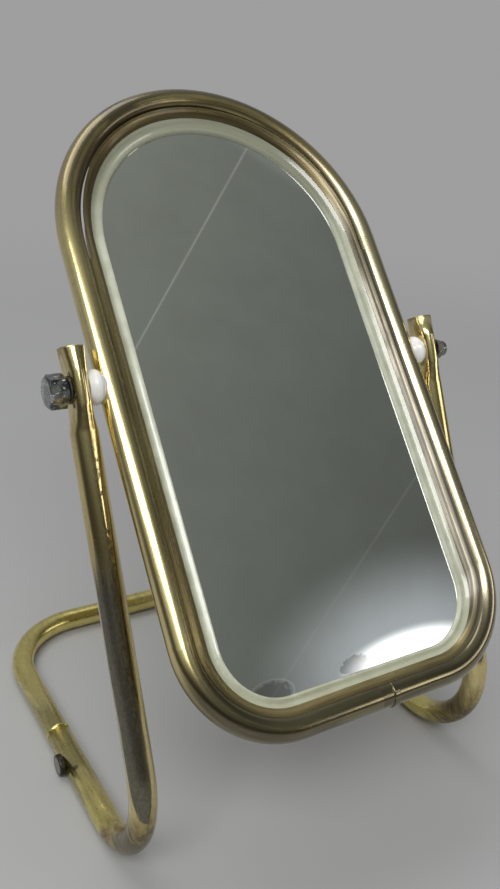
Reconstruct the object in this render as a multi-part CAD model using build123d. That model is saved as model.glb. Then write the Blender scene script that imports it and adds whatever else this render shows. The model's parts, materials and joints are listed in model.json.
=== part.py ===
from build123d import *
import os
from math import cos, pi, radians, sin, tan

# Countertop mirror: a tilting mirror in a bent brass tube loop, hung between the uprights of a
# bent tube stand. +X is to the right of someone facing the mirror, -Y is towards them, +Z is up.
# The origin is on the table, under the middle of the object's bounding box.

# ---------------------------------------------------------------- driving dimensions (mm)

# Stand: one tube, bent up at the front into two uprights that lean back.
STAND_TUBE_D = 9.5
STAND_WALL = 1.0
STAND_WIDTH = 150.0          # between the two uprights' centre lines
FRONT_Y = -85.8              # where the lines of a leg and an upright would meet
BACK_Y = 86.7                # centre line of the back bar
UPRIGHT_LEAN = 27.1          # degrees back from vertical
UPRIGHT_LENGTH = 189.4       # along the lean, from that meeting point to the cut end
FRONT_BEND_R = 31.2
BACK_BEND_R = 33.0
FLAT_THICKNESS = 6.0         # where an upright is pinched flat round the pivot
FLAT_WIDTH = 11.6
FLAT_HALF_LENGTH = 5.4
FLAT_BLEND = 9.0             # below the flat, down to the full round
END_THICKNESS = 8.4          # at the cut end, sprung back nearly round
END_WIDTH = 10.4

# Joint in the left leg: a butt seam over an inner sleeve, held by one screw.
SEAM_Y = 12.0
SEAM_LIP = 0.35              # how far the rolled edge stands out
SEAM_ROLL_R = 0.8            # of the rolled edge's section
SLEEVE_LENGTH = 44.0
SLEEVE_WALL = 0.8
LEG_SCREW_Y = -4.0
LEG_SCREW_D = 3.0
LEG_SCREW_LENGTH = 4.2       # under the head
LEG_SCREW_HEAD_D = 8.4
LEG_SCREW_HEAD_H = 2.0
LEG_SCREW_HEAD_ROUND = 0.6

# Pivot, on one axis along X through both uprights.
PIVOT_ALONG = 175.7          # along the upright, from the front meeting point
PIVOT_D = 4.0
TURN_CLEARANCE = 0.07        # radial, round the turning screw
FACE_GAP = 0.1               # between faces that turn past each other
FIXED_CLEARANCE = 0.05       # radial, round screws that don't turn in their hole

# Mirror: a tube loop with a half-round top, and a sprung-in tray with the glass.
MIRROR_TILT = 41.6           # degrees back from vertical, at rest
FRAME_TUBE_D = 9.0
FRAME_WALL = 0.9
FRAME_HALF_WIDTH = 63.5      # centre line, from the middle
FRAME_ABOVE = 115.1          # centre line of the top, above the pivot
FRAME_BELOW = 121.6          # centre line of the bottom, below the pivot
FRAME_CORNER_R = 33.0
FRAME_SEAM_X = 6.0
FRAME_SEAM_GAP = 0.2

# Insets of the tray's edges from the frame tube's centre line. The tray sits low in its loop: its
# insets are smaller at the bottom, by the drop.
TRAY_DROP = 1.8
FLANGE_EDGE_INSETS = (3.45, 4.9, 3.45)      # sides, top, bottom
TRAY_WALL_OUT = 7.6
TRAY_WALL_IN = 8.1
GLASS_EDGE = 8.2
CRIMP_EDGE = 9.6
BEZEL_INSIDE_INSETS = (12.8, 14.0, 9.8)
SLOT_INSETS = (5.2, 3.7, 0.0)               # where the flange stands clear at each shoulder
SLOT_LOW = 45.6                             # above the pivot
SLOT_HIGH = 82.0

# Depths of the tray's layers, in front of the plane through the frame tube's centre line.
FLANGE_FRONT = 3.0
FLANGE_FOOT = 0.7
BEZEL_RIM = 0.5
GLASS_FRONT = -1.3
GLASS_BACK = -3.3
BOARD_BACK = -4.6
COVER_BACK = -5.2
CRIMP_BACK = -5.8

SHEET_THICKNESS = 0.5
WALL_OVERLAP = 0.1           # how far the wall's top is below the flange's foot

# Sections: (part of the way in from the outer edge, depth). The flange's edge is thickened by the
# solder that joins it to the frame tube. The bezel has a shallow groove, then a lip.
FLANGE_FACE = (
    (0.0, FLANGE_FRONT),
    (0.25, 2.65),
    (0.5, 2.15),
    (0.75, 1.5),
    (1.0, FLANGE_FOOT),
)
FLANGE_BACK = (
    (0.0, FLANGE_FRONT),
    (0.26, 1.9),
    (0.5, 1.5),
    (0.75, 0.7),
    (1.0, FLANGE_FOOT - 2 * SHEET_THICKNESS),
)
BEZEL_SECTION = (
    (0.0, BEZEL_RIM),
    (0.14, 0.05),
    (0.28, -0.35),
    (0.4, -0.5),
    (0.52, -0.4),
    (0.66, -0.15),
    (0.78, 0.0),
    (0.88, -0.1),
    (0.96, -0.6),
    (1.0, GLASS_FRONT),
)

STRAP_PLACES = (20.0, -85.0)
STRAP_WIDTH = 8.0
STRAP_THICKNESS = 0.8
STRAP_DEPTH = -1.8
DOWEL_LENGTH = 24.0
DOWEL_CHAMFER = 0.6
BEAD_LENGTH = 2.4
BEAD_HEIGHT = 0.45
BEAD_ROUND = 0.36
BEAD_CUT_INSET = 3.3         # cut away past this, where the flange covers it
BEAD_CUT_DEPTH = 1.0

# Pivot hardware. Ends and seats are distances out from the middle of the object.
SPACER_D = 12.0
SPACER_FACE_R = 4.4          # against the upright
SPACER_RIM_OUT = 69.6
SPACER_RIM_IN = 68.6
SPACER_BACK = 66.8
SPACER_BACK_R = 4.6
SCREW_HEAD_D = 5.4
SCREW_HEAD_H = 2.0
SCREW_HEAD_SEAT = 2.2        # out from the frame tube's centre line
SCREW_HEAD_SPARE = 0.2       # radial, in the access hole
SCREW_TIP_CHAMFER = 0.4
LEFT_SCREW_END = 84.2
RIGHT_SCREW_END = 85.5
KNOB_ACROSS_FLATS = 10.2
KNOB_END = 85.5
KNOB_FOOT_R = 4.1
KNOB_FOOT_H = 0.7
KNOB_BORE_SPARE = 0.3        # bore past the end of the screw
KNOB_WASHER_D = 9.0
KNOB_WASHER_H = 0.6
INSERT_D = 6.0
INSERT_CLEARANCE = 0.06
INSERT_SHORT = 0.7           # bush ends this far before the end of the screw
CUP_WASHER_D = 10.4
CUP_WASHER_H = 1.6
CUP_WASHER_EDGE_H = 0.5
CUP_WASHER_TOP_D = 7.0
LOCK_NUT_ACROSS_FLATS = 7.0
LOCK_NUT_HEX_H = 3.2
LOCK_NUT_COLLAR_H = 1.8
LOCK_NUT_COLLAR_R = 3.1
LOCK_RING_R = 2.7
LOCK_RING_H = 1.2
LOCK_RING_SUNK = 0.2
HEX_CHAMFER = 0.09           # depth of the corner chamfers, as a part of the size across flats
HEX_FLAT_PART = 0.94         # radius of the flat end, as a part of the inscribed radius

# ---------------------------------------------------------------- derived places

TUBE_R = STAND_TUBE_D / 2
FRAME_R = FRAME_TUBE_D / 2
SIDE_X = STAND_WIDTH / 2
PIVOT_R = PIVOT_D / 2
LEAN_DIR = Vector(0, sin(radians(UPRIGHT_LEAN)), cos(radians(UPRIGHT_LEAN)))
PIVOT = Vector(0, FRONT_Y, TUBE_R) + LEAN_DIR * PIVOT_ALONG
FLAT_START = PIVOT_ALONG - FLAT_HALF_LENGTH
FLAT_END = PIVOT_ALONG + FLAT_HALF_LENGTH
ROUND_TOP = FLAT_START - FLAT_BLEND
FLAT_OUT = SIDE_X + FLAT_THICKNESS / 2
FLAT_IN = SIDE_X - FLAT_THICKNESS / 2
MIRROR_PLANE = Plane(
    origin=PIVOT,
    x_dir=(1, 0, 0),
    z_dir=(0, -cos(radians(MIRROR_TILT)), sin(radians(MIRROR_TILT))),
)


# ---------------------------------------------------------------- helpers

def bent_path(points, bend_radii):
    """Straight runs through the points, joined by a tangent arc at each inner point."""
    edges = []
    start = points[0]
    for before, corner, after, radius in zip(points, points[1:], points[2:], bend_radii):
        back = (before - corner).normalized()
        ahead = (after - corner).normalized()
        half_angle = radians(back.get_angle(ahead)) / 2
        inward = (back + ahead).normalized()
        centre = corner + inward * (radius / sin(half_angle))
        arc_start = corner + back * (radius / tan(half_angle))
        arc_end = corner + ahead * (radius / tan(half_angle))
        edges.append(Line(start, arc_start))
        edges.append(ThreePointArc(arc_start, centre - inward * radius, arc_end))
        start = arc_end
    edges.append(Line(start, points[-1]))
    return Wire(edges)


def round_bar(path, radius):
    section_plane = Plane(origin=path @ 0, z_dir=path % 0)
    return sweep(section_plane * Circle(radius), path=path)


def cross_cylinder(radius, x_start, x_end):
    """A cylinder along X on the pivot axis, between two places in X."""
    plane = Plane(origin=(x_start, PIVOT.Y, PIVOT.Z), z_dir=(1, 0, 0))
    return extrude(plane * Circle(radius), amount=x_end - x_start)


def pivot_turned(profile, side):
    """A shape turned about the pivot axis from (distance out from the middle, radius) points."""
    plane = Plane(origin=PIVOT, x_dir=(side, 0, 0), z_dir=(0, -side, 0))
    face = plane * make_face(Polyline(*profile, close=True))
    return revolve(face, Axis(PIVOT, (1, 0, 0)))


def pivot_hexagon(across_flats, out_start, out_end, side):
    """A hexagonal bar on the pivot axis, with its outer corners chamfered round."""
    plane = Plane(origin=(side * out_start, PIVOT.Y, PIVOT.Z), x_dir=(0, 0, 1), z_dir=(side, 0, 0))
    length = out_end - out_start
    corner_r = across_flats / (2 * cos(pi / 6))
    bar = extrude(plane * RegularPolygon(corner_r, 6, rotation=30), amount=length)
    chamfer_h = HEX_CHAMFER * across_flats
    flat_r = across_flats / 2 * HEX_FLAT_PART
    turned = pivot_turned(
        [
            (out_start, 0),
            (out_start, corner_r + 0.1),
            (out_end - chamfer_h, corner_r + 0.1),
            (out_end, flat_r),
            (out_end, 0),
        ],
        side,
    )
    return bar & turned


# ---------------------------------------------------------------- stand

def upright_point(side, along):
    return Vector(side * SIDE_X, FRONT_Y, TUBE_R) + LEAN_DIR * along


def pinched_end(side, inward, overshoot=0.0):
    """The top of an upright: round, pinched flat at the pivot, and open again at the cut end."""
    across = LEAN_DIR.cross(Vector(1, 0, 0))

    def section(along, width, thickness):
        plane = Plane(origin=upright_point(side, along), x_dir=across, z_dir=LEAN_DIR)
        if width == thickness:
            return plane * Circle(width / 2 - inward)
        return plane * SlotOverall(width - 2 * inward, thickness - 2 * inward)

    round_section = section(ROUND_TOP, STAND_TUBE_D, STAND_TUBE_D)
    flat_start = section(FLAT_START, FLAT_WIDTH, FLAT_THICKNESS)
    flat_end = section(FLAT_END, FLAT_WIDTH, FLAT_THICKNESS)
    cut_end = section(UPRIGHT_LENGTH, END_WIDTH, END_THICKNESS)
    top = loft([round_section, flat_start])
    top += extrude(flat_start, amount=FLAT_END - FLAT_START, dir=LEAN_DIR)
    top += loft([flat_end, cut_end])
    if overshoot:
        top += extrude(cut_end, amount=overshoot, dir=LEAN_DIR)
    return top


def bent_tube(path, side):
    """A round tube along the path, with its upright's end pinched and drilled."""
    outside = round_bar(path, TUBE_R) + pinched_end(side, 0)
    inside = round_bar(path, TUBE_R - STAND_WALL) + pinched_end(side, STAND_WALL, overshoot=1.0)
    hole = cross_cylinder(PIVOT_R + TURN_CLEARANCE, side * (FLAT_IN - 1), side * (FLAT_OUT + 1))
    return outside - inside - hole


def seam_lip():
    """A thin rolled lip round the cut end of the long tube."""
    roll_centre = (-SIDE_X, SEAM_Y + SEAM_ROLL_R, TUBE_R)
    section = Plane(origin=roll_centre, x_dir=(1, 0, 0), z_dir=(0, 0, 1))
    ring = section * Location((TUBE_R + SEAM_LIP - SEAM_ROLL_R, 0)) * Circle(SEAM_ROLL_R)
    lip = revolve(ring, Axis((-SIDE_X, 0, TUBE_R), (0, 1, 0)))
    bore_plane = Plane(origin=(-SIDE_X, SEAM_Y - 2, TUBE_R), z_dir=(0, 1, 0))
    below_table = Pos(-SIDE_X, SEAM_Y, -TUBE_R) * Box(4 * TUBE_R, 4 * TUBE_R, 2 * TUBE_R)
    return lip - extrude(bore_plane * Circle(TUBE_R - STAND_WALL), amount=6) - below_table


def leg_screw_hole():
    plane = Plane(origin=(-SIDE_X - TUBE_R - 1, LEG_SCREW_Y, TUBE_R), z_dir=(1, 0, 0))
    return extrude(plane * Circle(LEG_SCREW_D / 2 + FIXED_CLEARANCE), amount=TUBE_R + 1)


def stand_tube():
    """The long tube: right upright, right leg, back bar and the rear half of the left leg."""
    points = [
        upright_point(1, ROUND_TOP),
        Vector(SIDE_X, FRONT_Y, TUBE_R),
        Vector(SIDE_X, BACK_Y, TUBE_R),
        Vector(-SIDE_X, BACK_Y, TUBE_R),
        Vector(-SIDE_X, SEAM_Y, TUBE_R),
    ]
    path = bent_path(points, [FRONT_BEND_R, BACK_BEND_R, BACK_BEND_R])
    return bent_tube(path, 1) + seam_lip()


def left_foot_tube():
    """The short tube: front half of the left leg and the left upright."""
    points = [
        Vector(-SIDE_X, SEAM_Y, TUBE_R),
        Vector(-SIDE_X, FRONT_Y, TUBE_R),
        upright_point(-1, ROUND_TOP),
    ]
    path = bent_path(points, [FRONT_BEND_R])
    return bent_tube(path, -1) - leg_screw_hole()


def leg_joint_sleeve():
    radius = TUBE_R - STAND_WALL - FIXED_CLEARANCE
    plane = Plane(origin=(-SIDE_X, SEAM_Y - SLEEVE_LENGTH / 2, TUBE_R), z_dir=(0, 1, 0))
    ring = plane * (Circle(radius) - Circle(radius - SLEEVE_WALL))
    return extrude(ring, amount=SLEEVE_LENGTH) - leg_screw_hole()


def leg_joint_screw():
    """Low round head on the outside of the leg, shank through tube and sleeve."""
    face_x = -SIDE_X - TUBE_R
    head_plane = Plane(origin=(face_x, LEG_SCREW_Y, TUBE_R), z_dir=(-1, 0, 0))
    head = extrude(head_plane * Circle(LEG_SCREW_HEAD_D / 2), amount=LEG_SCREW_HEAD_H)
    outer_edge = head.edges().filter_by(GeomType.CIRCLE).sort_by(Axis.X)[0]
    head = fillet(outer_edge, LEG_SCREW_HEAD_ROUND)
    shank = extrude(head_plane * Circle(LEG_SCREW_D / 2), amount=-LEG_SCREW_LENGTH)
    return head + shank


# ---------------------------------------------------------------- mirror, in its own plane

def outline_edges(insets, start_x=0.0, end_x=0.0):
    """Round-topped outline inside the frame's centre line, from start_x on the bottom to end_x."""
    side_inset, top_inset, bottom_inset = insets
    half = FRAME_HALF_WIDTH - side_inset
    arch_y = FRAME_ABOVE - top_inset - half
    bottom = -FRAME_BELOW + bottom_inset
    corner_r = FRAME_CORNER_R - side_inset
    corner_x = half - corner_r
    corner_y = bottom + corner_r
    reach = corner_r * sin(radians(45))
    right_middle = (corner_x + reach, corner_y - reach)
    left_middle = (-corner_x - reach, corner_y - reach)
    return [
        Line((start_x, bottom), (corner_x, bottom)),
        ThreePointArc((corner_x, bottom), right_middle, (half, corner_y)),
        Line((half, corner_y), (half, arch_y)),
        ThreePointArc((half, arch_y), (0, arch_y + half), (-half, arch_y)),
        Line((-half, arch_y), (-half, corner_y)),
        ThreePointArc((-half, corner_y), left_middle, (-corner_x, bottom)),
        Line((-corner_x, bottom), (end_x, bottom)),
    ]


def tray_insets(inset):
    return (inset, inset, inset - TRAY_DROP)


def sheet(insets, back, front):
    """A flat sheet of the outline, between two depths."""
    return Pos(0, 0, back) * extrude(make_face(outline_edges(insets)), amount=front - back)


def tray_sheet(inset, back, front):
    return sheet(tray_insets(inset), back, front)


def frame_bar(radius):
    """A round bar on the frame's centre line, from one side of the seam round to the other."""
    half_gap = FRAME_SEAM_GAP / 2
    path = Wire(outline_edges((0, 0, 0), FRAME_SEAM_X + half_gap, FRAME_SEAM_X - half_gap))
    section = Plane(origin=path @ 0, z_dir=path % 0) * Circle(radius)
    return sweep(section, path=path)


def frame_tube():
    """Closed loop of tube, with a screw hole and a head access hole at each pivot."""
    tube = frame_bar(FRAME_R) - frame_bar(FRAME_R - FRAME_WALL)
    across = Plane(origin=(0, 0, 0), z_dir=(1, 0, 0))
    access_r = SCREW_HEAD_D / 2 + SCREW_HEAD_SPARE
    access = extrude(across * Circle(access_r), amount=FRAME_HALF_WIDTH, both=True)
    holes = extrude(across * Circle(PIVOT_R + FIXED_CLEARANCE), amount=SIDE_X, both=True)
    return tube - access - holes


def seam_cylinder(radius, length):
    plane = Plane(origin=(FRAME_SEAM_X - length / 2, -FRAME_BELOW, 0), z_dir=(1, 0, 0))
    return extrude(plane * Circle(radius), amount=length)


def frame_joint_dowel():
    dowel = seam_cylinder(FRAME_R - FRAME_WALL - FIXED_CLEARANCE, DOWEL_LENGTH)
    return chamfer(dowel.edges().filter_by(GeomType.CIRCLE), DOWEL_CHAMFER)


def frame_joint_bead():
    """Rounded ring pressed over the seam of the frame tube."""
    bead = seam_cylinder(FRAME_R + BEAD_HEIGHT, BEAD_LENGTH)
    bead = fillet(bead.edges().filter_by(GeomType.CIRCLE), BEAD_ROUND)
    corner = (FRAME_SEAM_X, BEAD_CUT_INSET - FRAME_BELOW, BEAD_CUT_DEPTH)
    aligned = (Align.CENTER, Align.MIN, Align.MIN)
    covered = Pos(*corner) * Box(2 * BEAD_LENGTH, 2 * FRAME_R, 2 * FRAME_R, align=aligned)
    return bead - seam_cylinder(FRAME_R, BEAD_LENGTH + 1) - covered


def dish(outside_insets, inside_insets, section):
    """The hollow above a ring that runs inwards through (part of the way in, depth) points."""
    outlines = []
    for part, depth in section:
        insets = [a + (b - a) * part for a, b in zip(outside_insets, inside_insets)]
        outlines.append(Pos(0, 0, depth) * make_face(outline_edges(insets)))
    return loft(outlines, ruled=True)


def shoulder_slots():
    """Cutters that keep the flange clear of the frame tube at the two shoulders."""
    height = SLOT_HIGH - SLOT_LOW
    depth = 4 * FRAME_R
    cutters = []
    for side in (-1, 1):
        centre = (side * FRAME_HALF_WIDTH, (SLOT_HIGH + SLOT_LOW) / 2, 0)
        block = Pos(*centre) * Box(FRAME_HALF_WIDTH, height, depth)
        cutters.append(block - sheet(SLOT_INSETS, -depth, depth))
    return cutters


def tray_flange():
    """Sloping sheet ring from the frame tube down to the tray's wall, slightly bulged."""
    foot_insets = tray_insets(TRAY_WALL_IN)
    foot_back = FLANGE_BACK[-1]
    ring = dish(FLANGE_EDGE_INSETS, foot_insets, FLANGE_BACK)
    ring -= dish(FLANGE_EDGE_INSETS, foot_insets, FLANGE_FACE + (foot_back,))
    return ring - shoulder_slots()


def tray_rim():
    """Pressed sheet rim: sloping flange in front, wall and a crimped lip at the back."""
    wall_front = FLANGE_FOOT - WALL_OVERLAP
    wall = tray_sheet(TRAY_WALL_OUT, CRIMP_BACK, wall_front)
    wall -= tray_sheet(TRAY_WALL_IN, COVER_BACK, wall_front + 1)
    wall -= tray_sheet(CRIMP_EDGE, CRIMP_BACK - 1, COVER_BACK)
    return tray_flange() + wall


def bezel():
    """Soft plastic ring inside the rim, from the flange's foot down to the glass."""
    opening = dish(tray_insets(TRAY_WALL_IN), BEZEL_INSIDE_INSETS, BEZEL_SECTION)
    return tray_sheet(TRAY_WALL_IN, GLASS_FRONT, BEZEL_RIM) - opening


def tray_straps():
    """Four short straps soldered between the frame tube and the tray's wall."""
    straps = []
    for side in (-1, 1):
        tube_x = side * (FRAME_HALF_WIDTH - FRAME_R / 2)
        wall_x = side * (FRAME_HALF_WIDTH - TRAY_WALL_OUT)
        for strap_y in STRAP_PLACES:
            centre = ((tube_x + wall_x) / 2, strap_y, STRAP_DEPTH)
            straps.append(Pos(*centre) * Box(abs(tube_x - wall_x), STRAP_WIDTH, STRAP_THICKNESS))
    return Compound([strap - frame_bar(FRAME_R) for strap in straps])


# ---------------------------------------------------------------- pivot hardware

def pivot_screw(side, end):
    """Round head trapped in the bore of the frame tube, plain shank out through the upright."""
    head_out = FRAME_HALF_WIDTH + SCREW_HEAD_SEAT
    return pivot_turned(
        [
            (head_out - SCREW_HEAD_H, 0),
            (head_out - SCREW_HEAD_H, SCREW_HEAD_D / 2),
            (head_out, SCREW_HEAD_D / 2),
            (head_out, PIVOT_R),
            (end - SCREW_TIP_CHAMFER, PIVOT_R),
            (end, PIVOT_R - SCREW_TIP_CHAMFER),
            (end, 0),
        ],
        side,
    )


def spacer(side):
    """Lens-shaped plastic button between upright and frame tube, hollowed to sit on the tube."""
    outer = FLAT_IN - FACE_GAP
    bore = PIVOT_R + FIXED_CLEARANCE
    radius = SPACER_D / 2
    outer_middle = (0.6 * SPACER_RIM_OUT + 0.4 * outer, 0.7 * radius + 0.3 * SPACER_FACE_R)
    back_middle = (0.6 * SPACER_RIM_IN + 0.4 * SPACER_BACK, 0.7 * radius + 0.3 * SPACER_BACK_R)
    edges = [
        Line((FRAME_HALF_WIDTH, bore), (outer, bore)),
        Line((outer, bore), (outer, SPACER_FACE_R)),
        ThreePointArc((outer, SPACER_FACE_R), outer_middle, (SPACER_RIM_OUT, radius)),
        Line((SPACER_RIM_OUT, radius), (SPACER_RIM_IN, radius)),
        ThreePointArc((SPACER_RIM_IN, radius), back_middle, (SPACER_BACK, SPACER_BACK_R)),
        Line((SPACER_BACK, SPACER_BACK_R), (FRAME_HALF_WIDTH, bore)),
    ]
    plane = Plane(origin=PIVOT, x_dir=(side, 0, 0), z_dir=(0, -side, 0))
    button = revolve(plane * make_face(edges), Axis(PIVOT, (1, 0, 0)))
    return button - MIRROR_PLANE.location * frame_bar(FRAME_R)


def washer(side, thickness, diameter):
    """Flat ring on the outside of an upright."""
    bore = PIVOT_R + TURN_CLEARANCE
    outer = FLAT_OUT + thickness
    return pivot_turned(
        [(FLAT_OUT, bore), (FLAT_OUT, diameter / 2), (outer, diameter / 2), (outer, bore)],
        side,
    )


def cup_washer():
    """Dished washer under the lock nut."""
    bore = PIVOT_R + TURN_CLEARANCE
    rim_r = CUP_WASHER_D / 2
    edge = FLAT_OUT + CUP_WASHER_EDGE_H
    outer = FLAT_OUT + CUP_WASHER_H
    top_r = CUP_WASHER_TOP_D / 2
    return pivot_turned(
        [(FLAT_OUT, bore), (FLAT_OUT, rim_r), (edge, rim_r), (outer, top_r), (outer, bore)],
        1,
    )


def clamp_knob():
    """Hexagonal hand nut with a blind bore and a tapered foot."""
    foot_start = FLAT_OUT + KNOB_WASHER_H + FACE_GAP
    hex_start = foot_start + KNOB_FOOT_H
    hexagon = pivot_hexagon(KNOB_ACROSS_FLATS, hex_start, KNOB_END, -1)
    foot = pivot_turned(
        [
            (foot_start, 0),
            (foot_start, KNOB_FOOT_R),
            (hex_start, KNOB_ACROSS_FLATS / 2),
            (hex_start, 0),
        ],
        -1,
    )
    bore = cross_cylinder(INSERT_D / 2, -LEFT_SCREW_END - KNOB_BORE_SPARE, -foot_start + 1)
    return hexagon + foot - bore


def knob_insert():
    """Threaded brass bush pressed into the hand nut."""
    start = FLAT_OUT + KNOB_WASHER_H + FACE_GAP
    end = LEFT_SCREW_END - INSERT_SHORT
    bush = cross_cylinder(INSERT_D / 2, -end, -start)
    return bush - cross_cylinder(PIVOT_R + INSERT_CLEARANCE, -end - 1, -start + 1)


def lock_nut():
    """Hexagon nut with a round collar that holds the locking ring."""
    start = FLAT_OUT + CUP_WASHER_H + FACE_GAP
    hexagon = pivot_hexagon(LOCK_NUT_ACROSS_FLATS, start, start + LOCK_NUT_HEX_H, 1)
    collar_end = start + LOCK_NUT_HEX_H + LOCK_NUT_COLLAR_H
    collar = cross_cylinder(LOCK_NUT_COLLAR_R, start, collar_end)
    bore = cross_cylinder(PIVOT_R + FIXED_CLEARANCE, start - 1, collar_end + 1)
    pocket = cross_cylinder(LOCK_RING_R, collar_end - LOCK_RING_H, collar_end + 1)
    return hexagon + collar - bore - pocket


def lock_ring():
    """Plastic ring in the collar of the lock nut."""
    collar_end = FLAT_OUT + CUP_WASHER_H + FACE_GAP + LOCK_NUT_HEX_H + LOCK_NUT_COLLAR_H
    ring = cross_cylinder(LOCK_RING_R, collar_end - LOCK_RING_H, collar_end - LOCK_RING_SUNK)
    return ring - cross_cylinder(PIVOT_R + FIXED_CLEARANCE, collar_end - 3, collar_end + 1)


# ---------------------------------------------------------------- nodes

def in_mirror_plane(shape):
    return MIRROR_PLANE.location * shape


NODES = {
    "stand_tube": stand_tube,
    "left_foot_tube": left_foot_tube,
    "leg_joint_sleeve": leg_joint_sleeve,
    "leg_joint_screw": leg_joint_screw,
    "left_washer": lambda: washer(-1, KNOB_WASHER_H, KNOB_WASHER_D),
    "right_cup_washer": cup_washer,
    "left_pivot_screw": lambda: pivot_screw(-1, LEFT_SCREW_END),
    "right_pivot_screw": lambda: pivot_screw(1, RIGHT_SCREW_END),
    "left_spacer": lambda: spacer(-1),
    "right_spacer": lambda: spacer(1),
    "right_lock_nut": lock_nut,
    "lock_nut_ring": lock_ring,
    "clamp_knob": clamp_knob,
    "knob_insert": knob_insert,
    "frame_tube": lambda: in_mirror_plane(frame_tube()),
    "frame_joint_dowel": lambda: in_mirror_plane(frame_joint_dowel()),
    "frame_joint_bead": lambda: in_mirror_plane(frame_joint_bead()),
    "tray_rim": lambda: in_mirror_plane(tray_rim()),
    "tray_straps": lambda: in_mirror_plane(tray_straps()),
    "bezel": lambda: in_mirror_plane(bezel()),
    "mirror_glass": lambda: in_mirror_plane(tray_sheet(GLASS_EDGE, GLASS_BACK, GLASS_FRONT)),
    "backing_board": lambda: in_mirror_plane(tray_sheet(GLASS_EDGE, BOARD_BACK, GLASS_BACK)),
    "back_cover": lambda: in_mirror_plane(tray_sheet(TRAY_WALL_IN, COVER_BACK, BOARD_BACK)),
}

os.makedirs("parts", exist_ok=True)
for node_name, build in NODES.items():
    export_step(build(), f"parts/{node_name}.step")
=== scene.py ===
import bpy
import bmesh
import json
from math import cos, pi, radians, sin
from mathutils import Euler, Matrix, Vector

# Countertop mirror: looks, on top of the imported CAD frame. Metres, +Z up, -Y towards the viewer.

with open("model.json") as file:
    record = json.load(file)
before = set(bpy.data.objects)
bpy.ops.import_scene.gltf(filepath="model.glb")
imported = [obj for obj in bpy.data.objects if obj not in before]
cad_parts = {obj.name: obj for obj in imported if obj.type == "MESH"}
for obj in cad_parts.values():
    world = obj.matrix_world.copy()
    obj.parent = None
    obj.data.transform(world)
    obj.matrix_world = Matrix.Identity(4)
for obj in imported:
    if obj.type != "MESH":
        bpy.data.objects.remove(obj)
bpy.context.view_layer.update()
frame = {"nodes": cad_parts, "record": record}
nodes = frame["nodes"]
joints = {joint["name"]: joint for joint in frame["record"]["behaviour"]["joints"]}

# Materials are laid out in millimetres, about these places and directions.
PIVOT = Vector(joints["mirror_tilt"]["pos_m"]) * 1000
MIRROR_TILT = radians(41.6)
UPRIGHT_LEAN = radians(27.1)
ACROSS = Vector((1, 0, 0))
MIRROR_UP = Vector((0, sin(MIRROR_TILT), cos(MIRROR_TILT)))
MIRROR_OUT = Vector((0, -cos(MIRROR_TILT), sin(MIRROR_TILT)))
LEAN_UP = Vector((0, sin(UPRIGHT_LEAN), cos(UPRIGHT_LEAN)))
LEAN_OUT = Vector((0, -cos(UPRIGHT_LEAN), sin(UPRIGHT_LEAN)))
DEPTH = Vector((0, 1, 0))
HEIGHT = Vector((0, 0, 1))

# Centre line of the frame tube, from the pivot.
LOOP_HALF_WIDTH = 63.5
LOOP_TOP = 115.1
LOOP_FOOT = 121.6
LOOP_CORNER = 33.0

# Where the left upright starts from its bend, and the screw in the left leg.
LEFT_BEND = Vector((-75.0, -85.8, 4.75))
LEG_SCREW_Y = -4.0
LEG_HEIGHT = 4.75

view = bpy.context.scene.view_settings
view.view_transform = "Standard"


# ---------------------------------------------------------------- node graphs

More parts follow.
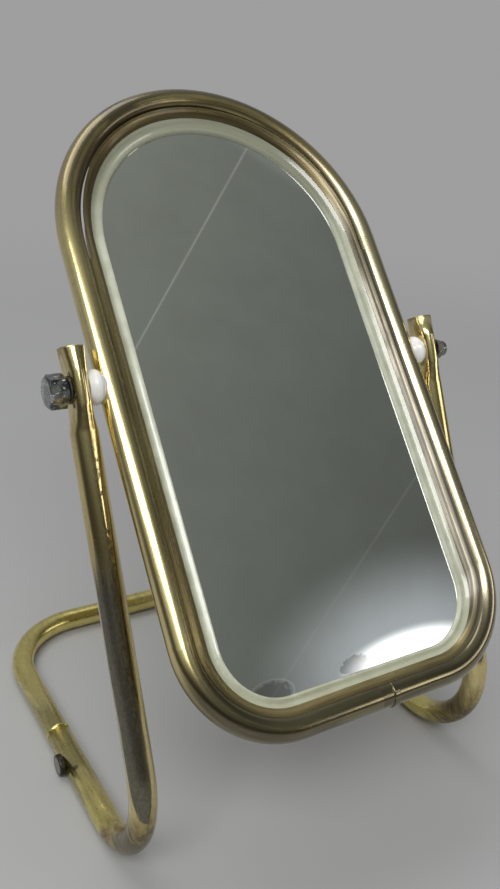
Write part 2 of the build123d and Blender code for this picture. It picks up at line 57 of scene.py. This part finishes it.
class Graph:
    """Short hands for building shader nodes. Lengths in a material are in millimetres."""

    def __init__(self, owner):
        owner.use_nodes = True
        self.owner = owner
        self.tree = owner.node_tree

    def node(self, kind):
        return self.tree.nodes.new("ShaderNode" + kind)

    def put(self, socket, value):
        if isinstance(value, bpy.types.NodeSocket):
            self.tree.links.new(value, socket)
        elif socket.type == "RGBA":
            socket.default_value = (*value, 1)
        else:
            socket.default_value = value

    def math(self, operation, a, b=0.0, clamp=False):
        node = self.node("Math")
        node.operation = operation
        node.use_clamp = clamp
        self.put(node.inputs[0], a)
        self.put(node.inputs[1], b)
        return node.outputs[0]

    def add(self, *values):
        total = values[0]
        for value in values[1:]:
            total = self.math("ADD", total, value)
        return total

    def times(self, *values):
        total = values[0]
        for value in values[1:]:
            total = self.math("MULTIPLY", total, value)
        return total

    def vector(self, operation, a, b=None, scale=None):
        node = self.node("VectorMath")
        node.operation = operation
        self.put(node.inputs[0], a)
        if b is not None:
            self.put(node.inputs[1], b)
        if scale is not None:
            self.put(node.inputs["Scale"], scale)
        return node.outputs["Value" if operation in ("DOT_PRODUCT", "LENGTH") else "Vector"]

    def dot(self, a, b):
        return self.vector("DOT_PRODUCT", a, b)

    def combine(self, x, y, z):
        node = self.node("CombineXYZ")
        for socket, value in zip(node.inputs, (x, y, z)):
            self.put(socket, value)
        return node.outputs[0]

    def noise(self, where, size, detail=4.0, rough=0.6):
        """Clouds of about the given size, from 0 to 1 around 0.5."""
        node = self.node("TexNoise")
        self.put(node.inputs["Vector"], where)
        node.inputs["Scale"].default_value = 1 / size
        node.inputs["Detail"].default_value = detail
        node.inputs["Roughness"].default_value = rough
        return node.outputs["Fac"]

    def specks(self, where, size):
        """Distance to the nearest of scattered points, 0 to about 1."""
        node = self.node("TexVoronoi")
        self.put(node.inputs["Vector"], where)
        node.inputs["Scale"].default_value = 1 / size
        return node.outputs["Distance"]

    def band(self, value, low, high, start=0.0, end=1.0):
        """Smooth step from start to end as the value goes from low to high."""
        node = self.node("MapRange")
        node.interpolation_type = "SMOOTHSTEP"
        self.put(node.inputs["Value"], value)
        limits = {"From Min": low, "From Max": high, "To Min": start, "To Max": end}
        for name, number in limits.items():
            node.inputs[name].default_value = number
        return node.outputs["Result"]

    def between(self, value, low, high, soft):
        """1 from low to high, falling to 0 over the soft distance on both sides."""
        rising = self.band(value, low - soft, low)
        return self.times(rising, self.band(value, high, high + soft, 1.0, 0.0))

    def mix(self, amount, a, b):
        node = self.node("Mix")
        node.data_type = "RGBA"
        self.put(node.inputs[0], amount)
        self.put(node.inputs[6], a)
        self.put(node.inputs[7], b)
        return node.outputs[2]

    def ragged(self, value, cloud, reach):
        """The value with its edges moved by a cloud, up to half the reach each way."""
        return self.add(value, self.times(self.add(cloud, -0.5), reach))

    def blend(self, amount, a, b):
        """A number between a and b."""
        node = self.node("Mix")
        self.put(node.inputs[0], amount)
        self.put(node.inputs[2], a)
        self.put(node.inputs[3], b)
        return node.outputs[0]


class Finish(Graph):
    """A procedural material, with places on the object in millimetres."""

    NAMES = {
        "color": "Base Color", "coat": "Coat Weight", "coat_rough": "Coat Roughness",
        "subsurface": "Subsurface Weight", "specular": "Specular IOR Level",
    }

    def __init__(self, name):
        super().__init__(bpy.data.materials.new(name))
        self.shader = self.tree.nodes["Principled BSDF"]
        place = self.node("TexCoord").outputs["Object"]
        self.mm = self.vector("SCALE", place, scale=1000.0)

    def along(self, axis, origin=(0, 0, 0)):
        """Distance along an axis from an origin."""
        return self.dot(self.vector("SUBTRACT", self.mm, origin), axis)

    def near(self, centre, radius, soft):
        """1 within the radius of a place, falling to 0 over the soft distance."""
        away = self.vector("LENGTH", self.vector("SUBTRACT", self.mm, centre))
        return self.band(away, radius, radius + soft, 1.0, 0.0)

    def bump(self, height, depth):
        """Relief of the given depth in mm."""
        node = self.node("Bump")
        node.inputs["Strength"].default_value = 1.0
        node.inputs["Distance"].default_value = depth / 1000
        self.put(node.inputs["Height"], height)
        self.put(self.shader.inputs["Normal"], node.outputs["Normal"])

    def set(self, **values):
        for key, value in values.items():
            self.put(self.shader.inputs[self.NAMES.get(key, key.capitalize())], value)


def darker(color, share):
    return [channel * share for channel in color]


def wear(material, *names):
    """Puts a material on CAD nodes."""
    for name in names:
        nodes[name].data.materials.clear()
        nodes[name].data.materials.append(material)


# ---------------------------------------------------------------- brass

GOLD = (0.82, 0.69, 0.34)
PALE_GOLD = (0.84, 0.73, 0.26)
TARNISH = (0.37, 0.29, 0.12)
DULL_OLIVE = (0.27, 0.24, 0.13)
BROWN = (0.115, 0.092, 0.05)
BLACK = (0.035, 0.025, 0.018)
NICKEL = (0.74, 0.71, 0.67)
WORN = (0.175, 0.17, 0.145)
RUST = (0.20, 0.085, 0.05)
PALE_STRAIGHT = (0.52, 0.48, 0.38)
SHOULDER_BROWNS = ((0.20, 0.16, 0.08), (0.07, 0.055, 0.03))
TRAY_GREYS = ((0.20, 0.19, 0.17), (0.085, 0.08, 0.065))


BRASS_RELIEF = 0.006


class Patina:
    """Streaks, clouds, pits and scratches over one flow: (across, across, lengthwise) in mm."""

    def __init__(self, g, flow, streak):
        cloud = g.noise(g.vector("MULTIPLY", flow, (1, 1, 1 / streak)), 2.0, 5, 0.62)
        broad = g.noise(g.vector("MULTIPLY", flow, (1, 1, 0.3)), 11.0, 3)
        bands = g.noise(g.vector("MULTIPLY", flow, (1, 1, 0.015)), 1.3, 2, 0.5)
        self.dirt = g.add(g.times(cloud, 0.45), g.times(broad, 0.3), g.times(bands, 0.25))
        self.fine = g.noise(g.vector("MULTIPLY", flow, (1, 1, 0.4)), 0.6, 3, 0.7)
        self.scratch = g.noise(g.vector("MULTIPLY", flow, (1, 1, 0.03)), 0.3, 2, 0.5)
        spots = g.band(g.specks(flow, 1.9), 0.06, 0.17, 1.0, 0.0)
        rare = g.band(g.noise(flow, 7.0, 2), 0.5, 0.6)
        self.pits = g.times(spots, rare)

    def toward(self, g, other, amount):
        """Changes into another flow's patina where the amount is 1."""
        for name in ("dirt", "fine", "scratch", "pits"):
            setattr(self, name, g.blend(amount, getattr(self, name), getattr(other, name)))
        return self


def brass(g, patina, bright, amount, shine):
    """Colour and roughness of plated brass; amount is how far it is tarnished, about 0 to 1."""
    level = g.add(patina.dirt, g.times(amount, 0.34))
    stain = g.band(level, 0.50, 0.76)
    deep = g.band(level, 0.70, 0.90)
    tone = g.mix(g.times(g.band(patina.fine, 0.35, 0.7), 0.25), bright, TARNISH)
    tone = g.mix(g.times(stain, 0.9), tone, TARNISH)
    tone = g.mix(g.times(deep, 0.85), tone, BROWN)
    tone = g.mix(g.times(patina.pits, 0.75), tone, BLACK)
    rough = g.add(
        g.band(stain, 0, 1, shine, shine + 0.07),
        g.times(deep, 0.08),
        g.times(patina.fine, 0.06),
        g.times(patina.pits, 0.2),
    )
    return tone, rough


def finish_brass(g, patina, tone, rough, coat):
    """Sets the shader, with scratches and pits in relief and some lacquer left on top."""
    height = g.add(g.times(patina.scratch, 0.35), g.times(patina.fine, 0.4))
    g.bump(g.math("SUBTRACT", height, patina.pits), BRASS_RELIEF)
    g.set(color=tone, metallic=1.0, roughness=rough, coat=coat, coat_rough=0.13)
    return g.owner


MEAN_RADIUS = 90.0


def loop_places(g):
    """Places on the loop: across, up and out of the mirror's plane from the pivot, then
    outwards from the frame tube's centre line and lengthwise around the loop."""
    x = g.along(ACROSS, PIVOT)
    up = g.along(MIRROR_UP, PIVOT)
    out = g.along(MIRROR_OUT, PIVOT)
    side = g.math("ABSOLUTE", x)
    arch = g.combine(x, g.math("MAXIMUM", g.add(up, LOOP_HALF_WIDTH - LOOP_TOP), 0.0), 0.0)
    foot_x = g.math("MAXIMUM", g.add(side, LOOP_CORNER - LOOP_HALF_WIDTH), 0.0)
    foot_up = g.math("MAXIMUM", g.math("SUBTRACT", LOOP_CORNER - LOOP_FOOT, up), 0.0)
    foot = g.combine(foot_x, foot_up, 0.0)
    radial = g.math(
        "MAXIMUM",
        g.add(g.vector("LENGTH", arch), -LOOP_HALF_WIDTH),
        g.add(g.vector("LENGTH", foot), -LOOP_CORNER),
    )
    around = g.times(g.math("ARCTAN2", x, up), MEAN_RADIUS)
    return x, up, out, radial, around


def on_loop(x, up, out):
    """A place given from the pivot, in the mirror's own directions."""
    return PIVOT + ACROSS * x + MIRROR_UP * up + MIRROR_OUT * out


def frame_brass():
    """Gold straights, a browned arch with a painted dark reflection band along it, and a dull
    olive foot, with nicks low on the right.
    """
    g = Finish("frame_brass")
    x, up, out, radial, around = loop_places(g)
    patina = Patina(g, g.combine(radial, out, around), 10)
    arch = g.band(up, 50, 80)
    bottom = g.band(up, -85, -112)
    left_corner = g.times(bottom, g.band(x, 10, -45))
    # Tarnish raised on the tube's inner flank beside the tray, partly painted shade of that flank
    # and the gap.
    inner_tarnish_and_shade = g.between(radial, -4.4, -1.8, 0.8)
    # A darker patch on the left of the arch.
    arch_dark_patch = g.near(on_loop(-33, 105, 2), 3, 8)
    amount = g.add(
        g.times(arch, 0.40),
        g.times(bottom, 0.78),
        g.times(left_corner, 0.3),
        g.times(inner_tarnish_and_shade, 0.42),
        g.times(arch_dark_patch, 0.8),
        0.14,
    )
    tone, rough = brass(g, patina, GOLD, amount, 0.17)

    right = g.times(g.band(x, 30, 60), g.band(up, 100, 60))
    tone = g.mix(g.times(right, 0.5), tone, PALE_STRAIGHT)

    scattered = g.specks(g.combine(radial, out, g.times(around, 0.55)), 2.6)
    nicks = g.times(g.band(scattered, 0.1, 0.2, 1, 0), g.near(on_loop(65, -62, 3), 14, 10))
    tone = g.mix(nicks, tone, BROWN)

    # Painted dark reflection: a brown band along the inner half of the arch, made ragged by the
    # patina.
    wander = g.ragged(radial, patina.dirt, 5.0)
    dark_reflection_band = g.times(g.between(wander, 0.2, 2.4, 0.7), arch, g.band(x, 55, 25))
    tone = g.mix(g.times(dark_reflection_band, 0.8), tone, BROWN)

    dull = g.mix(g.band(patina.dirt, 0.38, 0.60), DULL_OLIVE, BROWN)
    tone = g.mix(g.times(bottom, 0.78), tone, dull)
    rough = g.add(rough, g.times(nicks, 0.3), g.times(bottom, -0.1))
    return finish_brass(g, patina, tone, rough, 0.9)


def tray_brass():
    """Tarnished rim: brown at the right shoulder, grey down the right with painted dark shade
    lines, and partly painted shade where it meets the bezel.
    """
    g = Finish("tray_brass")
    x, up, out, radial, around = loop_places(g)
    patina = Patina(g, g.combine(radial, out, around), 14)
    arch = g.band(up, 45, 80)
    bottom = g.band(up, -90, -112)
    outer = g.band(radial, -5.0, -3.7)
    # Darker where the flange meets the bezel: partly brown tarnish spots, partly painted shade in
    # that crease.
    crease_tarnish_and_shade = g.band(radial, -6.3, -7.3)
    amount = g.add(
        g.times(arch, 0.55),
        g.times(bottom, 0.35),
        g.times(outer, 0.35),
        g.times(crease_tarnish_and_shade, 0.55),
        0.3,
    )
    tone, rough = brass(g, patina, GOLD, amount, 0.2)

    shoulder = g.times(g.band(x, 0, 35), g.band(up, 30, 65))
    brown = g.mix(g.band(patina.dirt, 0.42, 0.60), *SHOULDER_BROWNS)
    tone = g.mix(g.times(shoulder, 0.8), tone, brown)

    right = g.times(g.band(x, 35, 58), g.band(up, 78, 40))
    grey = g.mix(g.band(patina.dirt, 0.42, 0.58), *TRAY_GREYS)
    tone = g.mix(g.times(right, 0.85), tone, grey)
    # Painted shade: two dark lines down the right, where the flange meets the tube and where it
    # meets the bezel.
    lines = g.add(g.between(radial, -5.0, -4.5, 0.3), g.between(radial, -6.9, -6.4, 0.3))
    tone = g.mix(g.times(lines, right, 0.85), tone, BLACK)
    rough = g.add(rough, g.times(right, 0.1))
    return finish_brass(g, patina, tone, rough, 0.5)


def cover_brass():
    """The plain back, tarnished evenly."""
    g = Finish("cover_brass")
    x, up, out = loop_places(g)[:3]
    patina = Patina(g, g.combine(x, out, up), 4)
    tone, rough = brass(g, patina, GOLD, 0.62, 0.2)
    return finish_brass(g, patina, tone, rough, 0.3)


def stand_brass(name, worn):
    """Satin legs and bright uprights. The worn one is rubbed through to grey on its upright."""
    g = Finish(name)
    x = g.along(ACROSS)
    depth = g.along(DEPTH)
    height = g.along(HEIGHT)
    lean_up = g.along(LEAN_UP)
    lean_out = g.along(LEAN_OUT)
    upright = Patina(g, g.combine(x, lean_out, lean_up), 16)
    leg = Patina(g, g.combine(x, height, depth), 3)
    low = g.band(height, 10, 24, 1.0, 0.0)
    patina = upright.toward(g, leg, low)
    front_bend = g.times(g.band(height, 44, 20, 0.0, 1.0), g.band(depth, -42, -62))
    amount = g.add(g.times(front_bend, 0.95), 0.2 if worn else 0.1)
    tone, rough = brass(g, patina, g.mix(low, GOLD, PALE_GOLD), amount, 0.12)
    rough = g.add(rough, g.times(low, 0.10))
    if worn:
        tone, rough = worn_upright(g, upright, tone, rough)
        tone, rough = pitted_seam(g, g.combine(x, lean_out, g.times(lean_up, 0.5)), tone, rough)
        tone, rough = marked_leg(g, leg, tone, rough)
    return finish_brass(g, patina, tone, rough, 0.3)


def left_upright(g):
    """Angle around the left upright from its front, in degrees, and length up it, in mm."""
    across = g.along(ACROSS, LEFT_BEND)
    facing = g.along(LEAN_OUT, LEFT_BEND)
    angle = g.times(g.math("ARCTAN2", across, facing), 180 / pi)
    return angle, g.along(LEAN_UP, LEFT_BEND)


def worn_upright(g, patina, tone, rough):
    """Plating rubbed away in front, with bright nickel beside it."""
    angle, length = left_upright(g)
    turn = g.ragged(angle, patina.dirt, 90.0)
    where = g.between(g.ragged(length, patina.dirt, 60.0), 20, 112, 14)
    rubbed = g.times(g.between(turn, -78, 12, 9), where)
    plate = g.times(g.between(turn, -140, -88, 8), where, g.band(length, 44, 70))
    mottle = g.band(patina.fine, 0.3, 0.7)
    browner = g.band(g.add(turn, g.times(mottle, 20.0)), -20, 12)
    bare = g.mix(mottle, WORN, darker(WORN, 0.6))
    bare = g.mix(g.times(browner, 0.6), bare, BROWN)
    tone = g.mix(g.times(rubbed, 0.92), tone, bare)
    tone = g.mix(g.times(plate, 0.8), tone, g.mix(mottle, NICKEL, darker(NICKEL, 0.75)))
    return tone, g.add(rough, g.times(rubbed, 0.16))


def pitted_seam(g, where, tone, rough):
    """Line of brown pits above the worn stretch."""
    angle, length = left_upright(g)
    pitted = g.times(g.between(angle, -8, 16, 4), g.between(length, 70, 150, 12))
    pitted = g.times(pitted, g.band(g.noise(where, 1.1, 3), 0.48, 0.6))
    return g.mix(g.times(pitted, 0.85), tone, BROWN), g.add(rough, g.times(pitted, 0.25))


def marked_leg(g, patina, tone, rough):
    """Rust behind the front bend, and painted shade for a small dented place beside the leg screw.
    """
    rust = g.times(g.near((-78.5, -47, 6), 2.5, 4), g.band(patina.fine, 0.25, 0.55))
    # Painted shade: a black spot for a small dented place that is not modelled.
    dent_shade = g.near((-77.2, -12, 8.8), 0.6, 1.0)
    tone = g.mix(g.times(rust, 0.85), tone, RUST)
    tone = g.mix(g.times(dent_shade, 0.8), tone, BLACK)
    return tone, g.add(rough, g.times(rust, 0.2))


wear(frame_brass(), "frame_tube", "frame_joint_bead")
wear(tray_brass(), "tray_rim", "tray_straps", "knob_insert")
wear(cover_brass(), "back_cover")
wear(stand_brass("stand_brass", worn=False), "stand_tube")
wear(stand_brass("foot_brass", worn=True), "left_foot_tube")


# ---------------------------------------------------------------- other finishes

def steel(name, color, roughness):
    g = Finish(name)
    grain = g.noise(g.mm, 0.6, 4, 0.65)
    dull = g.noise(g.mm, 3.6, 3)
    g.set(color=g.mix(g.band(dull, 0.35, 0.7), color, darker(color, 0.55)), metallic=1.0)
    g.set(roughness=g.band(grain, 0.3, 0.7, roughness, roughness + 0.15))
    g.bump(grain, 0.015)
    return g.owner


def screw_steel():
    """Grey face with a dark rim, for the screw in the leg."""
    g = Finish("screw_steel")
    grain = g.noise(g.mm, 0.5, 4, 0.65)
    centre = (0, LEG_SCREW_Y, LEG_HEIGHT)
    away = g.vector("LENGTH", g.combine(g.along(DEPTH, centre), g.along(HEIGHT, centre), 0.0))
    rim = g.band(g.add(away, g.times(grain, 0.6)), 3.2, 3.9)
    g.set(color=g.mix(rim, (0.34, 0.33, 0.29), (0.06, 0.055, 0.045)), metallic=1.0)
    g.set(roughness=g.band(grain, 0.3, 0.7, 0.32, 0.5))
    g.bump(grain, 0.03)
    return g.owner


wear(steel("plain_steel", (0.55, 0.54, 0.51), 0.28),
     "leg_joint_sleeve", "left_pivot_screw", "right_pivot_screw", "frame_joint_dowel")
wear(steel("dark_steel", (0.16, 0.15, 0.14), 0.35), "left_washer", "right_cup_washer")
wear(screw_steel(), "leg_joint_screw")
wear(steel("nut_steel", (0.30, 0.29, 0.26), 0.2), "right_lock_nut")


def knob_chrome():
    """Dark chrome whose colour is partly painted reflection: near-black to grey mottling, and
    bright scuffs that also stand for glints.
    """
    g = Finish("knob_chrome")
    # Painted reflection mixed with smudges and scuffs: the mottled tone and the bright scratch
    # marks stand partly for reflected light.
    smudge_and_reflection = g.noise(g.mm, 3.0, 4, 0.6)
    lines = g.noise(g.vector("MULTIPLY", g.mm, (0.25, 1, 1)), 0.9, 3, 0.6)
    scuff_and_glint = g.times(g.band(lines, 0.56, 0.62), g.band(smudge_and_reflection, 0.42, 0.55))
    tone = g.mix(g.band(smudge_and_reflection, 0.40, 0.60), (0.06, 0.06, 0.065), (0.42, 0.42, 0.43))
    g.set(color=g.mix(scuff_and_glint, tone, (0.85, 0.85, 0.86)), metallic=1.0, coat=1.0, coat_rough=0.05)
    g.set(roughness=g.add(g.times(scuff_and_glint, 0.3), g.band(smudge_and_reflection, 0.3, 0.7, 0.08, 0.2)))
    g.bump(lines, 0.02)
    return g.owner


wear(knob_chrome(), "clamp_knob")


def plastic(name, color, shade, roughness, subsurface):
    g = Finish(name)
    cloud = g.noise(g.mm, 7.0, 4)
    fine = g.noise(g.mm, 0.5, 3)
    g.set(color=g.mix(g.band(cloud, 0.35, 0.7), color, shade), subsurface=subsurface)
    g.set(roughness=g.band(fine, 0.3, 0.7, roughness, roughness + 0.08))
    g.set(coat=0.4, coat_rough=0.10)
    g.shader.inputs["Subsurface Radius"].default_value = (1.0, 0.9, 0.7)
    g.shader.inputs["Subsurface Scale"].default_value = 0.002
    g.bump(fine, 0.004)
    return g.owner


def bezel_plastic():
    """Milky plastic, olive towards the brass and darker at the arch."""
    g = Finish("bezel_plastic")
    _, up, _, radial, _ = loop_places(g)
    cloud = g.noise(g.mm, 7.0, 4)
    fine = g.noise(g.mm, 0.5, 3)
    tone = g.mix(g.band(cloud, 0.35, 0.7), (0.66, 0.68, 0.55), (0.54, 0.56, 0.44))
    outer = g.band(g.ragged(radial, cloud, 2.0), -10.6, -8.2)
    arch = g.band(up, 45, 80)
    tone = g.mix(g.times(outer, 0.45), tone, (0.34, 0.33, 0.19))
    tone = g.mix(g.times(arch, 0.9), tone, (0.29, 0.295, 0.215))
    g.set(color=tone, roughness=g.band(fine, 0.3, 0.7, 0.2, 0.28), coat=1.0, coat_rough=0.08)
    g.bump(fine, 0.001)
    return g.owner


wear(bezel_plastic(), "bezel")
wear(plastic("button_plastic", (0.95, 0.95, 0.94), (0.88, 0.88, 0.85), 0.28, 0.2),
     "left_spacer", "right_spacer")
wear(plastic("ring_plastic", (0.6, 0.66, 0.7), (0.5, 0.55, 0.6), 0.4, 0.0), "lock_nut_ring")


def board():
    g = Finish("board_card")
    fibre = g.noise(g.mm, 1.0, 6, 0.7)
    g.set(color=g.mix(fibre, (0.16, 0.13, 0.10), (0.30, 0.26, 0.20)), roughness=0.85)
    g.bump(fibre, 0.05)
    return g.owner


# Spots where the silver has gone: place from the pivot, half sizes, strength of the pale edge.
GLASS_SPOTS = (
    (-37.0, -110.0, 8.6, 4.6, 0.8),
    (-3.0, -109.5, 7.5, 3.6, 0.0),
)


def mirror():
    """Silvered glass: faint smears, dust, and the silver gone in two spots on its lower edge."""
    g = Finish("mirror_silver")
    x = g.along(ACROSS, PIVOT)
    up = g.along(MIRROR_UP, PIVOT)
    haze = g.noise(g.mm, 24.0, 5, 0.6)
    wiped = g.times(g.add(x, g.times(up, 0.6)), 0.25)
    smear = g.noise(g.combine(wiped, g.add(up, g.times(x, -0.6)), 0.0), 3.0, 4)
    dust = g.band(g.specks(g.mm, 3.4), 0.03, 0.08, 1.0, 0.0)
    dust = g.times(dust, g.band(g.noise(g.mm, 12.0, 2), 0.5, 0.62))
    tone = g.mix(g.band(haze, 0.3, 0.75), (0.80, 0.82, 0.80), (0.74, 0.755, 0.735))
    tone = g.mix(g.times(dust, 0.25), tone, (0.45, 0.45, 0.42))
    cloud = g.noise(g.mm, 2.2, 4)
    for centre_x, centre_up, half_width, half_height, edge in GLASS_SPOTS:
        spot_x = g.times(g.add(x, -centre_x), 1 / half_width)
        spot_up = g.times(g.add(up, -centre_up), 1 / half_height)
        away = g.vector("LENGTH", g.combine(spot_x, spot_up, 0.0))
        bare = g.band(g.ragged(away, cloud, 1.1), 0.72, 0.92, 1.0, 0.0)
        tone = g.mix(g.times(bare, g.band(haze, 0.3, 0.6, 0.8, 0.5)), tone, (0.20, 0.20, 0.19))
        line = g.between(away, 0.98, 1.02, 0.05)
        tone = g.mix(g.times(line, edge), tone, (1.0, 1.0, 1.0))
    rough = g.add(g.band(haze, 0.3, 0.8, 0.006, 0.016), g.times(smear, 0.02))
    g.set(color=tone, metallic=1.0, roughness=rough)
    return g.owner


wear(board(), "backing_board")
wear(mirror(), "mirror_glass")

SHARP_FROM = radians(32)
SAME_POINT = 2e-6

for node in nodes.values():
    mesh = node.data
    mesh.polygons.foreach_set("use_smooth", [True] * len(mesh.polygons))
    mesh.set_sharp_from_angle(angle=SHARP_FROM)

# The pinched tops of the uprights shade as one surface.
for name in ("stand_tube", "left_foot_tube"):
    weld = nodes[name].modifiers.new("weld", "WELD")
    weld.merge_threshold = SAME_POINT


# ---------------------------------------------------------------- stage, light, camera

BACKGROUND = (0.345, 0.345, 0.345)
FRONT_WALL = (0.045, 0.042, 0.038)
BACK_WALL = (0.30, 0.30, 0.31)
PALE_LINE = (0.5, 0.5, 0.48)
STRIP_LIGHT = (2.4, 2.3, 2.1)
LAMP_LIGHT = (4.0, 4.05, 4.1)
LAMP_GLOW = (0.62, 0.65, 0.69)

# Two thin lines across the ceiling, with how strong each is, and the side where the ceiling
# is a little lighter. Each is given by the normal of its plane.
CEILING_LINES = (((0.751, -0.371, -0.547), 0.42), ((0.537, -0.261, -0.803), 0.09))
LIGHTER_SIDE = (0.433, 0.898, -0.074)
LINE_HALF, LINE_END = 0.0004, 0.0014

# The lamp that shines low in the glass: where it is, its long and its upward direction.
LAMP_AHEAD = (0.613, -0.624, 0.486)
LAMP_ALONG = (0.791, 0.483, -0.377)
LAMP_UPWARD = (0.0, 0.614, 0.789)
LAMP_HALF_LENGTH = 0.064
LAMP_HALF_HEIGHT = 0.026
GLOW_HALF_HEIGHT = 0.045


def ceiling_tone(g, toward):
    """Brighter to the left and behind, slightly green."""
    slope = g.add(g.dot(toward, (-0.20, 0.045, 0.095)), 0.21)
    return g.combine(slope, g.times(slope, 1.07), g.times(slope, 0.96))


def lamp_on(g, toward, tone):
    """Adds the lamp's core and its wide grey glow."""
    length = g.times(g.add(g.dot(toward, LAMP_ALONG), 0.012), 1 / LAMP_HALF_LENGTH)
    upward = g.add(g.dot(toward, LAMP_UPWARD), 0.0099)
    ahead = g.band(g.dot(toward, LAMP_AHEAD), 0.6, 0.8)
    away = g.vector("LENGTH", g.combine(length, g.times(upward, 1 / LAMP_HALF_HEIGHT), 0.0))
    wide = g.vector("LENGTH", g.combine(length, g.times(upward, 1 / GLOW_HALF_HEIGHT), 0.0))
    core = g.times(g.band(away, 0.35, 1.35, 1.0, 0.0), ahead)
    glow = g.times(g.band(wide, 0.4, 3.0, 1.0, 0.0), ahead, 0.75)
    return g.mix(core, g.mix(glow, tone, LAMP_GLOW), LAMP_LIGHT)


def room():
    """Soft grey room: lighter ceiling, darker in front of the table, and one lamp on the right."""
    world = bpy.data.worlds.new("room")
    bpy.context.scene.world = world
    g = Graph(world)
    toward = g.node("TexCoord").outputs["Generated"]
    height = g.dot(toward, HEIGHT)
    tone = g.mix(g.band(height, 0.22, 0.52), FRONT_WALL, ceiling_tone(g, toward))
    tone = g.mix(g.band(g.dot(toward, DEPTH), -0.15, 0.45), tone, BACK_WALL)
    side = g.band(g.dot(toward, LIGHTER_SIDE), 0.0, 0.01)
    tone = g.mix(g.times(side, g.band(height, 0.6, 0.8), 0.12), tone, (0.5, 0.5, 0.5))
    for across, strength in CEILING_LINES:
        away = g.math("ABSOLUTE", g.dot(toward, across))
        line = g.band(away, LINE_HALF, LINE_END, 1.0, 0.0)
        tone = g.mix(g.times(line, g.band(height, 0.45, 0.55), strength), tone, PALE_LINE)
    turn = g.math("ARCTAN2", g.dot(toward, ACROSS), g.dot(toward, -DEPTH))
    strip = g.times(g.between(height, 0.20, 0.30, 0.04), g.between(turn, 0.58, 1.25, 0.05))
    tone = g.mix(strip, tone, STRIP_LIGHT)
    tone = lamp_on(g, toward, tone)
    seen = g.node("LightPath").outputs["Is Camera Ray"]
    g.put(g.tree.nodes["Background"].inputs["Color"], g.mix(seen, tone, BACKGROUND))


def soft_lamp(name, place, aim, width, height, radiance):
    """Rectangular lamp with the same radiance over its whole face."""
    data = bpy.data.lights.new(name, "AREA")
    data.shape = "RECTANGLE"
    data.size = width
    data.size_y = height
    data.energy = pi * width * height * radiance
    lamp = bpy.data.objects.new(name, data)
    lamp.location = place
    lamp.rotation_mode = "QUATERNION"
    lamp.rotation_quaternion = (Vector(aim) - Vector(place)).to_track_quat("-Z", "Y")
    bpy.context.collection.objects.link(lamp)


FLOOR_RADIUS = 2.5
FLOOR_DROP = 0.0002
FLOOR_GREY = (0.46, 0.46, 0.465)
FADE_FROM, FADE_TO = 350, 1300


def floor():
    """Pale disc that turns into the background's own grey far from the mirror."""
    mesh = bpy.data.meshes.new("floor")
    bm = bmesh.new()
    bmesh.ops.create_circle(bm, cap_ends=True, radius=FLOOR_RADIUS, segments=96)
    bmesh.ops.translate(bm, verts=bm.verts, vec=(0, 0, -FLOOR_DROP))
    bm.to_mesh(mesh)
    bm.free()
    sheet = bpy.data.objects.new("floor", mesh)
    bpy.context.collection.objects.link(sheet)
    g = Finish("floor_paint")
    far = g.band(g.vector("LENGTH", g.mm), FADE_FROM, FADE_TO)
    g.set(color=g.mix(far, FLOOR_GREY, (0.0, 0.0, 0.0)), roughness=0.6)
    g.set(specular=g.band(far, 0, 1, 0.5, 0.0))
    g.put(g.shader.inputs["Emission Color"], BACKGROUND)
    g.put(g.shader.inputs["Emission Strength"], far)
    mesh.materials.append(g.owner)


CAMERA_PLACE = (-0.17229, -0.25695, 0.25902)
CAMERA_YAW = 0.5838
CAMERA_PITCH = 0.4014
CAMERA_ROLL = 0.09
LENS = 35.12


def camera():
    """The photo's own point of view, fitted to the outlines of the tubes."""
    data = bpy.data.cameras.new("camera")
    data.lens = LENS
    data.sensor_width = 36.0
    data.clip_start = 0.01
    cam = bpy.data.objects.new("camera", data)
    turn = Euler((pi / 2 - CAMERA_PITCH, 0, -CAMERA_YAW)).to_matrix()
    turn = turn @ Matrix.Rotation(CAMERA_ROLL, 3, "Z")
    cam.location = CAMERA_PLACE
    cam.rotation_mode = "QUATERNION"
    cam.rotation_quaternion = turn.to_quaternion()
    bpy.context.collection.objects.link(cam)
    bpy.context.scene.camera = cam


room()
floor()
soft_lamp("window", (-0.62, -0.86, 1.32), (0, 0, 0.12), 1.5, 0.5, 6.4)
soft_lamp("overhead", (-0.2, 0.55, 1.6), (0, 0, 0.1), 1.2, 0.8, 2.0)
camera()
